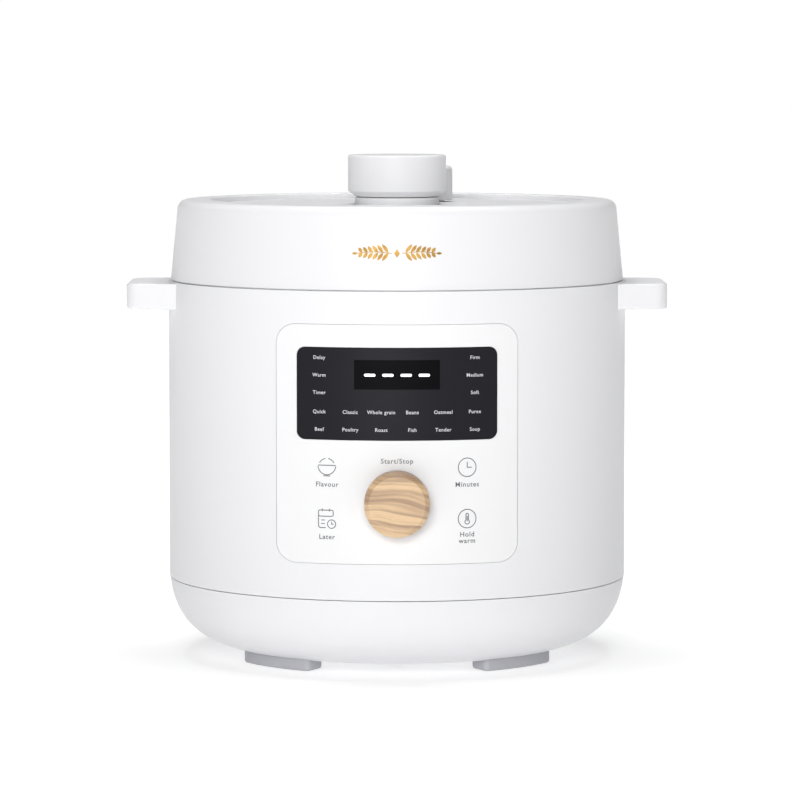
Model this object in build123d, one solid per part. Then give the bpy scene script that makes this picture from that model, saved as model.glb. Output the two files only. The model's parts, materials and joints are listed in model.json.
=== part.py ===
from build123d import *
import os
from math import cos, radians, sin, sqrt

# Electric pressure cooker with a hinged lid. Millimetres, +Z up, the front faces -Y.
# The origin is on the table, at the middle of the footprint.

# ---- driving sizes: overall -------------------------------------------------------
body_radius = 141.0          # outside of the housing
lid_seam = 231.5             # height of the seam between housing and lid
lid_height = 49.5            # lid seam to the crest of the lid
bowl_seam = 48.4             # height of the seam between housing and lower bowl
underside = 4.1              # height of the bowl's flat underside, which is also the feet's depth
seam_gap = 0.5
wall = 2.5                   # moulded walls
front_reach = 15.2           # how far the dial stands out of the housing

# ---- driving sizes: lower bowl and feet -------------------------------------------
bowl_flat = 80.0             # radius of the flat underside
bowl_side_start = 7.6        # height above the bowl seam where its side starts to curve
bowl_side_pull = 48.5        # how far the side runs down before it turns in
bowl_floor_pull = 23.0       # how far the underside runs out before it turns up
foot_outer, foot_inner = 108.0, 90.5
foot_angle = 31.0            # length of each arc foot, in degrees
vent_count, vent_inner, vent_length, vent_width = 16, 30.0, 26.0, 3.0

# ---- driving sizes: lid -----------------------------------------------------------
lid_step = 1.3               # lid radius below the body's
lid_draft = 4.8              # how far the lid's side leans in over its height
lid_corner = 6.0
lid_rim = 19.8               # width of the flat rim round the sunk plate
lid_recess = 3.5
knob_radius, knob_height = 30.3, 25.6
knob_foot_radius, knob_chamfer = 25.7, 3.5
pedestal_radius, pedestal_height = 26.0, 4.5
knob_lift = 0.5              # gap between the pedestal and the knob
valve_place = (25.4, 45.0)
valve_radius, valve_height = 9.4, 21.6
float_place = (44.8, 25.9)
float_radius = 3.0
top_plate = 2.5              # thickness of the sunk plate and of the ledge under it

# ---- driving sizes: lock and pressure seal ----------------------------------------
teeth = 6
lock_angle = 30.0            # turn of the knob from open to locked
flange_drop = 8.0            # top of the liner's toothed flange below the lid seam
plate = 2.5                  # flange and lock tooth thickness
tooth_gap = 0.5
liner_tooth_angle, lock_tooth_angle = 26.0, 22.0
skirt = 1.8                  # lock ring's skirt
swing_room = 2.7             # round the lock ring, for the lid's swing
running = 0.05               # radial clearance of shafts in their bores
shaft_radius = 12.0

# ---- driving sizes: heating -------------------------------------------------------
pot_wall, pot_floor, liner_wall = 1.5, 2.0, 1.5
pot_corner = 18.0
liner_underside = 35.5
heater_room = 13.0           # liner floor to the heating plate
heater_thick = 11.7
heater_edge = 14.0           # heating plate's radius inside the pot's
sensor_radius = 18.0
element_inset = 22.0         # heating element's middle inside the plate's edge
heater_post_inset = 8.0
fuse_reach = 41.0            # thermal fuse from the middle
pot_gap = 0.3

# ---- driving sizes: front; a drop is measured down from the lid seam --------------
panel_half_arc, panel_drop, panel_height, panel_corner = 74.8, 19.8, 141.3, 11.5
window_half_arc, window_drop, window_height, window_corner = 61.0, 33.2, 54.6, 5.0
window_thick = 1.5
digits_half, digits_drop, digits_height = 25.4, 40.4, 17.4
digits_depth = 1.2           # digits behind the display window
panel_gap = 0.2
dial_radius, dial_drop, dial_bevel = 19.3, 124.5, 2.6
dial_gap = 1.3               # back of the dial to the panel
hub_radius, hub_depth = 9.0, 8.5
press_travel = 0.8
board_thick = 1.6
board_room = 8.0             # liner to the control board
encoder_shaft_radius = 3.0
key_places = [(-42.0, 104.1), (42.0, 104.1), (-42.0, 134.3), (42.0, 134.9)]     # arc and drop
spring_radius, spring_wire = 3.0, 0.35

# ---- driving sizes: power board ---------------------------------------------------
board_half_x, board_half_y = 54.0, 40.0
board_post_x, board_post_y = 48.0, 33.0
board_lift = 8.0             # power board above the bowl's floor
switch_reach = 56.0          # pressure switch from the middle

# ---- driving sizes: sides and rear ------------------------------------------------
handle_reach = 24.5          # past the housing
handle_root_half, handle_tip_half = 44.6, 34.0
handle_drop, handle_thick = 1.0, 15.7
handle_corner, handle_wall = 10.0, 4.0
handle_screw_y = 20.6
screw_radius = 2.0
screw_head = 3.8
bottom_post_reach, post_radius = 72.0, 5.0
hinge_back, hinge_drop = 7.8, 7.5      # hinge axis behind the housing and below the lid seam
knuckle_radius, pin_radius = 4.6, 2.0
arm_half = 13.0
hinge_half, hinge_cover_height = 36.0, 35.5
hinge_screw_x, hinge_screw_lifts = 22.0, (6.5, 13.0)
spout_bore, spout_wall = 2.5, 1.5
cup_half, cup_drop, cup_height, cup_wall, cup_corner = 26.0, 48.5, 45.0, 1.8, 5.0
peg_x, peg_radius, peg_drop = 9.0, 2.0, 14.0
inlet_z, inlet_half_x, inlet_half_z, inlet_depth = 78.0, 12.3, 8.4, 16.5
inlet_wall = 3.0
fit_gap = 0.1                # round a moulding set into another

# ---- heights and radii that follow from them --------------------------------------
inside = body_radius - wall
lid_low = lid_seam + seam_gap / 2
body_high = lid_seam - seam_gap / 2
lid_crest = lid_seam + lid_height + seam_gap / 2
lid_radius = body_radius - lid_step
lid_top_radius = lid_radius - lid_draft
recess_radius = lid_top_radius - lid_rim
recess_z = lid_crest - lid_recess
knob_low = recess_z + pedestal_height + knob_lift
knob_high = knob_low + knob_height

collar_outer = inside - 0.2
collar_inner = collar_outer - 1.4
skirt_outer = collar_inner - swing_room
skirt_inner = skirt_outer - skirt
liner_tooth_radius = skirt_inner - 2.4
liner_flange_radius = liner_tooth_radius - 6.0
lock_tip_radius = liner_flange_radius + 1.5
pot_rim_radius = liner_flange_radius - 5.0
liner_inner = pot_rim_radius - 4.5
liner_outer = liner_inner + liner_wall
pot_outer = liner_inner - 3.0
pot_inner = pot_outer - pot_wall

flange_top = lid_seam - flange_drop
tooth_top = flange_top - plate - tooth_gap
tooth_low = tooth_top - plate
trough_z = tooth_low - 4.0
pot_rim_top = flange_top + pot_gap + plate
seal_low = pot_rim_top + 0.5
lid_rim_z = seal_low + 6.8             # underside of the inner lid's rim
lock_flange_low = lid_rim_z + 2.4
lock_flange_high = lock_flange_low + 2.0
spider_high = lock_flange_high + 3.0
frame_low = spider_high + 2.5
frame_high = frame_low + 3.0
inner_lid_top = lock_flange_high - 0.8
knob_screw_z = knob_high - 9.0

liner_floor = liner_underside + liner_wall
heater_low = liner_floor + heater_room
heater_top = heater_low + heater_thick
pot_low = heater_top + pot_gap

panel_high = lid_seam - panel_drop
panel_low = panel_high - panel_height
window_high = lid_seam - window_drop
window_low = window_high - window_height
digits_high = lid_seam - digits_drop
digits_low = digits_high - digits_height
dial_z = lid_seam - dial_drop
board_front = liner_outer + board_room
dial_face = body_radius + front_reach
dial_back = body_radius + dial_gap
rear_reach = dial_face                 # keeps the origin at the middle of the footprint
hinge_y = body_radius + hinge_back
hinge_z = lid_seam - hinge_drop
hinge_low = lid_seam - hinge_cover_height
bracket_back = body_radius + 2.3
handle_high = lid_seam - handle_drop
handle_low = handle_high - handle_thick
handle_mid = (handle_low + handle_high) / 2
cup_high = lid_seam - cup_drop
cup_low = cup_high - cup_height


# ---- helpers ----------------------------------------------------------------------
def disc(radius, low, high, x=0.0, y=0.0):
    return Pos(x, y, (low + high) / 2) * Cylinder(radius, high - low)


def ring(inner, outer, low, high, x=0.0, y=0.0):
    return disc(outer, low, high, x, y) - disc(inner, low - 1, high + 1, x, y)


def block(x0, x1, y0, y1, z0, z1):
    return Pos((x0 + x1) / 2, (y0 + y1) / 2, (z0 + z1) / 2) * Box(x1 - x0, y1 - y0, z1 - z0)


def bar_y(radius, x, z, y0, y1):
    return Pos(x, (y0 + y1) / 2, z) * Rot(90, 0, 0) * Cylinder(radius, abs(y1 - y0))


def bar_x(radius, y, z, x0, x1):
    return Pos((x0 + x1) / 2, y, z) * Rot(0, 90, 0) * Cylinder(radius, abs(x1 - x0))


def turned(*outline):
    """A solid of revolution about Z from (radius, height) points."""
    return revolve(Plane.XZ * make_face(Polyline(*outline, close=True)), Axis.Z)


def sector(inner, outer, low, high, middle, width):
    """Part of a ring, its middle and width given as angles about Z."""
    face = Plane.XZ * Pos((inner + outer) / 2, (low + high) / 2) * Rectangle(outer - inner, high - low)
    return Rot(0, 0, middle - width / 2) * revolve(face, Axis.Z, revolution_arc=width)


def around(count, start=0.0):
    return [start + i * 360.0 / count for i in range(count)]


def at_angle(radius, angle):
    return radius * cos(radians(angle)), radius * sin(radians(angle))


def front_plate(half_arc, low, high, corner, inner, outer):
    """A plate bent round the front of the body, with rounded corners."""
    half = body_radius * sin(half_arc / body_radius)
    outline = Pos(0, (low + high) / 2) * RectangleRounded(2 * half, high - low, corner)
    return extrude(Plane.XZ * outline, body_radius + wall) & ring(inner, outer, low - 1, high + 1)


def coil(radius, wire, low, high, turns):
    """A helical spring about Z, between two heights."""
    path = Helix((high - low - 2 * wire) / turns, high - low - 2 * wire, radius)
    section = Plane(path @ 0, z_dir=path % 0) * Circle(wire)
    return Pos(0, 0, low + wire) * sweep(section, path=path)


def circles(solid, keep):
    """The solid's circular edges of which keep(radius, height) holds."""
    found = solid.edges().filter_by(GeomType.CIRCLE)
    return found.filter_by(lambda edge: keep(edge.radius, edge.arc_center.Z))


def edges_at(solid, height):
    return solid.edges().filter_by(GeomType.CIRCLE).group_by(Axis.Z)[height]


def sum_parts(solids):
    total = Part()
    for solid in solids:
        total += solid
    return total


body_core = disc(body_radius + 0.05, -10, lid_crest + 50)


# ---- body shell -------------------------------------------------------------------
def handle_screw_places():
    return [(side, y) for side in (-1, 1) for y in (-handle_screw_y, handle_screw_y)]


def hinge_screw_places():
    return [(side * hinge_screw_x, hinge_low + lift) for side in (-1, 1) for lift in hinge_screw_lifts]


spout_y = (liner_outer + inside) / 2
spout_low = cup_high + 5.0


def make_housing():
    shell = ring(inside, body_radius, bowl_seam + seam_gap / 2, body_high)
    shell = fillet(circles(shell, lambda radius, z: radius > inside + 1), 0.3)
    half_arc = panel_half_arc + panel_gap
    shell -= front_plate(half_arc, panel_low - panel_gap, panel_high + panel_gap,
                         panel_corner + panel_gap, inside - 5, body_radius + 5)
    for side, y in handle_screw_places():
        shell -= bar_x(screw_radius, y, handle_mid, side * (inside - 20), side * (body_radius + 20))
    for x, z in hinge_screw_places():
        shell -= bar_y(screw_radius, x, z, inside - 20, body_radius + 20)
    shell -= bar_y(spout_bore + spout_wall + running, 0, spout_low, inside - 20, body_radius + 20)
    around_inlet = inlet_wall + fit_gap
    shell -= block(-inlet_half_x - around_inlet, inlet_half_x + around_inlet, inside - 20, body_radius + 20,
                   inlet_z - inlet_half_z - around_inlet, inlet_z + inlet_half_z + around_inlet)
    return shell


def bowl_solid(inset):
    """The lower bowl filled in, with its outline moved in by inset."""
    side, floor = body_radius - inset, underside + inset
    top = bowl_seam + bowl_side_start
    curve = Bezier((side, top), (side, top - bowl_side_pull),
                   (bowl_flat + bowl_floor_pull, floor), (bowl_flat, floor))
    rest = Polyline((bowl_flat, floor), (0, floor), (0, top), (side, top))
    return revolve(Plane.XZ * make_face([curve, rest]), Axis.Z)


bottom_post_places = [at_angle(bottom_post_reach, a) for a in around(4, 0)]
board_post_places = [(x, y) for x in (-board_post_x, board_post_x) for y in (-board_post_y, board_post_y)]
power_board_z = underside + wall + board_lift


def make_bottom_cover():
    cap = disc(body_radius + 1, underside - 1, bowl_seam - seam_gap / 2)
    bowl = (bowl_solid(0) & cap) - bowl_solid(wall)
    lip = ring(inside - 2.2, inside - 0.2, bowl_seam - 2.4, bowl_seam + 4.6)
    web = ring(inside - 2.2, inside + 0.6, bowl_seam - 2.4, bowl_seam - seam_gap / 2)
    bowl += lip + web
    for x, y in bottom_post_places:
        bowl += disc(post_radius, underside + wall / 2, liner_underside, x, y)
        bowl -= disc(screw_radius, underside - 1, liner_underside + 1, x, y)
        bowl -= disc(screw_head, underside - 1, underside + 2.2 + wall, x, y)
        bowl += ring(screw_head, post_radius, underside, underside + 4, x, y)
    for x, y in board_post_places:
        bowl += disc(3.0, underside + wall / 2, power_board_z, x, y)
    slot = Pos(vent_inner + vent_length / 2, 0, underside) * Box(vent_length, vent_width, 4 * wall)
    for angle in around(vent_count, 180.0 / vent_count):
        bowl -= Rot(0, 0, angle) * slot
    return bowl


def make_foot(angle):
    foot = sector(foot_inner, foot_outer, 0, bowl_seam / 2, angle, foot_angle)
    foot = fillet(foot.edges().filter_by(Axis.Z), 3.0)
    foot = fillet(foot.faces().sort_by(Axis.Z)[0].edges(), 2.0)
    foot -= bowl_solid(-0.02)
    return foot.solids().sort_by(Axis.Z)[0]


def make_handle(side):
    reach = body_radius + handle_reach
    outline = Polyline((inside - 10, -handle_root_half), (reach, -handle_tip_half),
                       (reach, handle_tip_half), (inside - 10, handle_root_half), close=True)
    slab = Pos(0, 0, handle_low) * extrude(make_face(outline), handle_thick)
    corners = slab.edges().filter_by(Axis.Z).group_by(Axis.X)[-1]
    slab = fillet(corners, handle_corner)
    rims = slab.faces().filter_by(Axis.Z)
    slab = fillet([e for f in rims for e in f.edges() if e.center().X > inside - 9], 1.4)
    slab -= body_core
    pocket_half = handle_tip_half - handle_wall
    pocket = block(body_radius + handle_wall + 2, reach - handle_wall, -pocket_half, pocket_half,
                   handle_low - 1, handle_high - handle_wall)
    slab -= fillet(pocket.edges().filter_by(Axis.Z), 3.0)
    for _, y in handle_screw_places():
        slab -= bar_x(screw_radius, y, handle_mid, inside - 20, body_radius + handle_wall - 1)
    return slab if side > 0 else mirror(slab, Plane.YZ)


def make_shell_screws():
    """Screws that hold the handles, from inside, and the hinge bracket, from outside."""
    screws = Part()
    for side, y in handle_screw_places():
        wall_x = sqrt(inside ** 2 - y ** 2) - 1.2
        screws += bar_x(screw_radius, y, handle_mid, side * wall_x, side * (body_radius + 2))
        screws += bar_x(screw_head, y, handle_mid, side * (wall_x - 2.2), side * wall_x)
    for x, z in hinge_screw_places():
        screws += bar_y(screw_radius, x, z, inside - 6, bracket_back)
        screws += bar_y(screw_head, x, z, bracket_back, bracket_back + 2)
    return screws


def make_bottom_screws():
    screws = Part()
    for x, y in bottom_post_places:
        head = underside + wall + 0.2
        screws += disc(screw_head - 0.3, head, head + 2.0, x, y)
        screws += disc(screw_radius, head, liner_underside + liner_wall + 2, x, y)
    return screws


# ---- collar, liner, pot and heater ------------------------------------------------
def make_collar():
    trough = turned((liner_outer + 0.1, flange_top - plate), (liner_outer + 0.1, trough_z - 2),
                    (collar_outer, trough_z - 2), (collar_outer, body_high + 0.3),
                    (collar_inner, body_high + 0.3), (collar_inner, trough_z),
                    (liner_outer + 3, trough_z), (liner_outer + 3, flange_top - plate))
    trough -= disc(spout_bore, trough_z - 5, trough_z + 5, 0, spout_y)
    for side, y in handle_screw_places():
        trough -= bar_x(screw_head + 0.5, y, handle_mid, side * (collar_inner - 15), side * body_radius)
    return trough


def make_drain_spout():
    outside, bore = spout_bore + spout_wall, spout_bore
    reach = body_radius + 6.5
    down = disc(outside, spout_low, trough_z - 2, 0, spout_y) + Pos(0, spout_y, spout_low) * Sphere(outside)
    spout = down + bar_y(outside, 0, spout_low, spout_y, reach)
    spout -= disc(bore, spout_low, trough_z, 0, spout_y) + Pos(0, spout_y, spout_low) * Sphere(bore)
    spout -= bar_y(bore, 0, spout_low, spout_y, reach + 1)
    return spout


def make_outer_liner():
    cup = disc(liner_outer, liner_underside, flange_top)
    cup = fillet(edges_at(cup, 0), 10.0)
    hollow = fillet(edges_at(disc(liner_inner, liner_floor, flange_top + 1), 0), 8.5)
    cup += disc(liner_flange_radius, flange_top - plate, flange_top)
    for angle in around(teeth, lock_angle):
        cup += sector(liner_flange_radius - 2, liner_tooth_radius, flange_top - plate, flange_top,
                      angle, liner_tooth_angle)
    cup -= hollow
    cup -= disc(sensor_radius + 18, liner_underside - 1, liner_floor + 1)
    for x, y in bottom_post_places + heater_post_places:
        cup -= disc(screw_radius, liner_underside - 1, liner_floor + 1, x, y)
    return cup


heater_radius = pot_outer - heater_edge
heater_post_places = [at_angle(heater_radius - heater_post_inset, a) for a in around(3, 90)]
element_radius = heater_radius - element_inset


def make_inner_pot():
    pot = disc(pot_outer, pot_low, pot_rim_top)
    pot = fillet(edges_at(pot, 0), pot_corner)
    rim = ring(pot_outer - 1, pot_rim_radius, pot_rim_top - plate, pot_rim_top)
    pot += fillet(circles(rim, lambda radius, z: radius > pot_outer), 1.0)
    hollow = disc(pot_inner, pot_low + pot_floor, pot_rim_top + 1)
    return pot - fillet(edges_at(hollow, 0), pot_corner - pot_wall)


def make_heating_plate():
    hub = disc(heater_radius, heater_low, heater_top)
    hub = chamfer(edges_at(hub, -1), 2.0)
    hub -= disc(sensor_radius + 3, heater_low - 1, heater_top + 1)
    for x, y in heater_post_places:
        hub -= disc(screw_radius, heater_low - 1, heater_low + 6, x, y)
    return hub


def make_heating_element():
    tube, z = 4.0, heater_low - 4.0
    loop = CenterArc((0, 0, z), element_radius, 285, 330)
    element = sweep(Plane(loop @ 0, z_dir=loop % 0) * Circle(tube), path=loop)
    for end in (loop @ 0, loop @ 1):
        element += Pos(end.X, end.Y, z) * Sphere(tube)
        element += disc(tube - 0.6, liner_floor + 1, z, end.X, end.Y)
    return element


def make_heater_posts():
    posts = Part()
    for x, y in heater_post_places:
        posts += disc(5.0, liner_floor, heater_low, x, y)
        posts += disc(screw_radius, liner_underside - 2, heater_low + 6, x, y)
        posts += disc(screw_head, liner_underside - 2.5, liner_underside, x, y)
    return posts


sensor_stem = 5.0
bracket_z = heater_low - 9.0


def make_sensor_cap():
    cap = disc(sensor_radius, heater_top - 9, heater_top)
    cap = fillet(edges_at(cap, -1), 2.0)
    cap -= disc(sensor_radius - 1.5, heater_top - 10, heater_top - 2.5)
    return cap + disc(sensor_stem, bracket_z - 5, heater_top - 2, 0, 0)


def make_sensor_bracket():
    strap = block(-sensor_radius - 12, sensor_radius + 12, -8, 8, bracket_z - 1.5, bracket_z)
    strap -= disc(sensor_stem + running, bracket_z - 5, bracket_z + 5)
    for side in (-1, 1):
        leg = sorted((side * (sensor_radius + 10.5), side * (sensor_radius + 12)))
        strap += block(leg[0], leg[1], -8, 8, bracket_z - 1.5, heater_low)
    return strap


def make_sensor_spring():
    return coil(sensor_stem + 3.0, 0.7, bracket_z, heater_top - 2.5, 5)


def make_thermal_fuse():
    can = bar_y(3.0, fuse_reach, heater_low - 3.0, -12, 12)
    return can + bar_y(0.6, fuse_reach, heater_low - 3.0, -20, 20)


def make_pressure_switch():
    y = switch_reach
    body = block(-10, 10, y - 4, y + 4, liner_underside - 14, liner_underside - 2)
    return body + block(-2, 2, y - 2, y + 2, liner_underside - 3, liner_underside)


# ---- electronics ------------------------------------------------------------------
def make_power_board():
    return block(-board_half_x, board_half_x, -board_half_y, board_half_y,
                 power_board_z, power_board_z + board_thick)


def make_power_parts():
    z = power_board_z + board_thick
    parts = block(-46, -22, -30, -8, z, z + 16)
    parts += block(-6, 14, -32, -14, z, z + 15)
    parts += disc(8.0, z, z + 15, 34, -20)
    parts += block(-44, -26, 10, 32, z, z + 8)
    parts += block(-8, 18, 14, 30, z, z + 11)
    return parts + disc(5.0, z, z + 13, 36, 14)


def make_control_board():
    half = sqrt((inside - 2.5) ** 2 - board_front ** 2)
    board = block(-half, half, -board_front, board_thick - board_front, panel_low + 10, window_high + 2)
    return board


def make_display_module():
    face = sqrt((body_radius - window_thick) ** 2 - digits_half ** 2) - digits_depth
    return block(-digits_half, digits_half, -face, -board_front, digits_low, digits_high)


def key_points():
    return [(body_radius * sin(arc / body_radius), lid_seam - drop) for arc, drop in key_places]


def make_touch_springs():
    springs = Part()
    for x, z in key_points():
        reach = sqrt((inside - 0.2) ** 2 - (abs(x) + spring_radius + 1) ** 2)
        spring = Rot(90, 0, 0) * coil(spring_radius, spring_wire, board_front, reach, 4)
        springs += Pos(x, 0, z) * spring
    return springs


def make_encoder_body():
    low = board_front
    body = block(-6.5, 6.5, -low - 7, -low, dial_z - 6.5, dial_z + 6.5)
    body += bar_y(4.4, 0, dial_z, -low - 7, -low - 11)
    return body - bar_y(encoder_shaft_radius + running, 0, dial_z, -low - 12, 0.1 - low)


encoder_gap = 0.08
plunger_front = board_front + press_travel + 1.3


def make_encoder_plunger():
    return bar_y(encoder_shaft_radius - 0.4, 0, dial_z, encoder_gap - plunger_front,
                 -board_front - press_travel - encoder_gap)


def make_encoder_shaft():
    shaft = bar_y(encoder_shaft_radius, 0, dial_z, -plunger_front, -dial_back - hub_depth + 2)
    flat_z = dial_z + encoder_shaft_radius * 0.55
    flat = block(-4, 4, -dial_back - hub_depth, -dial_back, flat_z, dial_z + encoder_shaft_radius + 1)
    return shaft - flat


def make_dial_hub():
    hub = bar_y(hub_radius, 0, dial_z, -dial_back, -dial_back - hub_depth)
    hub -= make_encoder_shaft()
    return hub


def make_dial_cap():
    cap = bar_y(dial_radius, 0, dial_z, -dial_back, -dial_face)
    cap = chamfer(cap.edges().group_by(Axis.Y)[0], dial_bevel, dial_bevel)
    cap -= bar_y(hub_radius, 0, dial_z, -dial_back, -dial_back - hub_depth)
    return cap


def make_control_panel():
    panel = front_plate(panel_half_arc, panel_low, panel_high, panel_corner, inside, body_radius)
    panel -= front_plate(window_half_arc + 0.15, window_low - 0.15, window_high + 0.15, window_corner,
                         body_radius - window_thick, body_radius + 2)
    panel -= front_plate(window_half_arc - 8, window_low + 5, window_high - 5, 3,
                         inside - 2, body_radius + 2)
    return panel - bar_y(encoder_shaft_radius + 1.2, 0, dial_z, 20 - inside, -body_radius - 20)


def make_display_window():
    return front_plate(window_half_arc, window_low, window_high, window_corner,
                       body_radius - window_thick, body_radius)


# ---- rear -------------------------------------------------------------------------
def make_hinge_bracket():
    base = block(-32, 32, inside - 8, bracket_back, hinge_low + 3, hinge_z + 3) - body_core
    for x in (15.4, 26.0):
        for side in (-1, 1):
            ends = sorted((side * x, side * (x + 4)))
            ear = bar_x(knuckle_radius, hinge_y, hinge_z, ends[0], ends[1])
            ear += block(ends[0], ends[1], bracket_back - 0.5, hinge_y, hinge_z - 3.5, hinge_z + 3)
            base += ear
    base -= bar_x(pin_radius, hinge_y, hinge_z, -50, 50)
    for x, z in hinge_screw_places():
        base -= bar_y(screw_radius, x, z, inside - 20, hinge_y + 5)
    return base


def make_hinge_pin():
    pin = bar_x(pin_radius, hinge_y, hinge_z, -32, 32)
    return pin + bar_x(pin_radius + 1.2, hinge_y, hinge_z, 30.2, 32)


def make_hinge_springs():
    spring = Rot(0, 90, 0) * coil(pin_radius + 1.2, 0.6, 19.8, 25.6, 4)
    spring = Pos(0, hinge_y, hinge_z) * spring
    return spring + mirror(spring, Plane.YZ)


def make_hinge_cover():
    top = lid_seam - 0.5
    shell = block(-hinge_half, hinge_half, inside - 12, rear_reach, hinge_low, top)
    shell = fillet(shell.edges().filter_by(Axis.Z).group_by(Axis.Y)[-1], 6.0)
    shell = fillet(shell.faces().sort_by(Axis.Z)[0].edges(), 2.0)
    hollow = block(-hinge_half + 2, hinge_half - 2, inside - 14, rear_reach - 2, hinge_low + 2, top - 1.8)
    shell -= fillet(hollow.edges().filter_by(Axis.Z).group_by(Axis.Y)[-1], 4.0)
    notch = arm_half + 3.5
    shell -= block(-notch, notch, inside - 14, rear_reach + 1, hinge_z - 6, top + 1)
    return shell - body_core


def make_cup_bracket():
    back = body_radius + 2.2
    bracket = block(-18, 18, inside - 6, back, cup_low + 8, cup_high - 8) - body_core
    pegs = (bar_y(peg_radius, x, cup_high - peg_drop, back - 1, back + 1) for x in (-peg_x, peg_x))
    return bracket + sum_parts(pegs)


cup_front = body_radius + 2.5


def make_condensate_cup():
    cup = block(-cup_half, cup_half, cup_front, rear_reach, cup_low, cup_high)
    cup = fillet(cup.edges().filter_by(Axis.Z).group_by(Axis.Y)[-1], cup_corner)
    cup = fillet(cup.faces().sort_by(Axis.Z)[0].edges(), 1.5)
    hollow = block(-cup_half + cup_wall, cup_half - cup_wall, cup_front + cup_wall,
                   rear_reach - cup_wall, cup_low + cup_wall, cup_high + 1)
    cup -= fillet(hollow.edges().filter_by(Axis.Z).group_by(Axis.Y)[-1], cup_corner - cup_wall)
    for x in (-peg_x, peg_x):
        cup -= bar_y(peg_radius + 0.3, x, cup_high - peg_drop, cup_front - 1, cup_front + 1)
    return cup


def make_power_inlet():
    front, back = body_radius - inlet_depth - inlet_wall, body_radius + 2
    shroud = block(-inlet_half_x - inlet_wall, inlet_half_x + inlet_wall, front, back,
                   inlet_z - inlet_half_z - inlet_wall, inlet_z + inlet_half_z + inlet_wall)
    flange = block(-inlet_half_x - 2 * inlet_wall, inlet_half_x + 2 * inlet_wall, inside - 6, back,
                   inlet_z - inlet_half_z - 2 * inlet_wall, inlet_z + inlet_half_z + 2 * inlet_wall)
    flange -= body_core
    cavity = block(-inlet_half_x, inlet_half_x, back - inlet_depth, back + 1,
                   inlet_z - inlet_half_z, inlet_z + inlet_half_z)
    cavity = chamfer(cavity.edges().filter_by(Axis.Y).group_by(Axis.Z)[-1], 4.5)
    inlet = shroud + flange - cavity
    for x, z in inlet_pin_places:
        inlet -= block(x - 1, x + 1, front - 2, back, z - 2, z + 2)
    return inlet


inlet_pin_places = [(-7.0, inlet_z - 1), (0.0, inlet_z + 3), (7.0, inlet_z - 1)]


def make_inlet_pins():
    front, back = body_radius - inlet_depth - inlet_wall, body_radius - 1.5
    return sum_parts(block(x - 1, x + 1, front - 2, back, z - 2, z + 2) for x, z in inlet_pin_places)


# ---- lid --------------------------------------------------------------------------
def lid_side(z, inset=0.0):
    """Radius of the lid's leaning side at a height."""
    return lid_radius - inset - lid_draft * (z - lid_low) / (lid_crest - lid_low)


notch_half, notch_high = arm_half + 1.5, frame_high + 3.5


def make_lid_cover():
    crest, ledge = lid_crest, recess_z - top_plate
    cover = turned((recess_radius - 6, ledge), (recess_radius, ledge), (recess_radius, crest),
                   (lid_side(crest - 0.4), crest - 0.4), (lid_radius, lid_low), (0, lid_low),
                   (0, ledge - top_plate), (recess_radius - 6, ledge - top_plate))
    shoulder = recess_radius + lid_rim / 2
    cover = fillet(circles(cover, lambda radius, z: z > crest - 1 and radius > shoulder), lid_corner)
    cover = fillet(circles(cover, lambda radius, z: z > crest - 0.1 and radius < shoulder), 1.2)
    cover = fillet(circles(cover, lambda radius, z: z < lid_low + 0.1), 0.35)
    roof = crest - wall - 0.5
    hollow = turned((0, lid_low - 1), (lid_side(lid_low - 1, wall), lid_low - 1),
                    (lid_side(roof - 5, wall), roof - 5), (lid_side(roof - 5, wall + 5), roof),
                    (recess_radius + wall, roof), (recess_radius + wall, ledge - top_plate),
                    (0, ledge - top_plate))
    cover -= hollow
    back = lid_side(notch_high) - 20
    return cover - block(-notch_half, notch_half, back, lid_radius + 5, lid_low - 5, notch_high)


def make_lid_top_plate():
    top = disc(recess_radius - 0.15, recess_z - top_plate, recess_z)
    top -= disc(shaft_radius + 2, recess_z - 5, recess_z + 5)
    top -= disc(valve_radius - 1.2, recess_z - 5, recess_z + 5, *valve_place)
    return top - disc(float_radius + 0.4, recess_z - 5, recess_z + 5, *float_place)


def make_knob_pedestal():
    low, high = recess_z, recess_z + pedestal_height
    foot = fillet(edges_at(disc(pedestal_radius, low, high), -1), 1.0)
    foot += disc(shaft_radius + 2, low - top_plate, low + 1)
    return foot - disc(shaft_radius + running, low - 5, high + 5)


frame_post_places = [at_angle(recess_radius - 3, a) for a in around(4, 45)]


def make_lid_frame():
    edge = lid_side(frame_high, wall) - 0.3
    frame = ring(shaft_radius + running, edge, frame_low, frame_high)
    for x, y in frame_post_places:
        frame += disc(4.0, frame_high - 1, recess_z - 2 * top_plate, x, y)
    frame -= disc(7.0, frame_low - 1, frame_high + 1, *valve_place)
    return frame - disc(float_radius + 2, frame_low - 1, frame_high + 1, *float_place)


def make_hinge_arm():
    strap = 2.5
    reach = hinge_y + strap / 2
    arm = block(-arm_half, arm_half, lid_radius - 42, reach, frame_high, frame_high + strap)
    arm += block(-arm_half, arm_half, reach - strap, reach, hinge_z, frame_high + strap)
    arm += bar_x(knuckle_radius, hinge_y, hinge_z, -arm_half, arm_half)
    return arm - bar_x(pin_radius + running, hinge_y, hinge_z, -arm_half - 1, arm_half + 1)


def make_arm_cover():
    low, high, back = lid_low, notch_high + 2.0, hinge_y + 4.6
    half = notch_half + 1.0
    shell = block(-half, half, lid_radius - 15, back, low, high)
    shell = fillet(shell.edges().filter_by(Axis.X).group_by(Axis.Y)[-1].sort_by(Axis.Z)[-1], 8.0)
    shell -= block(-arm_half - 0.2, arm_half + 0.2, lid_radius - 16, hinge_y + 2.3, low - 1, high - 2)
    lean = turned((0, lid_low - 20), (lid_side(lid_low - 20) + 0.05, lid_low - 20),
                  (lid_side(lid_crest) + 0.05, lid_crest), (0, lid_crest))
    return shell - lean


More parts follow.
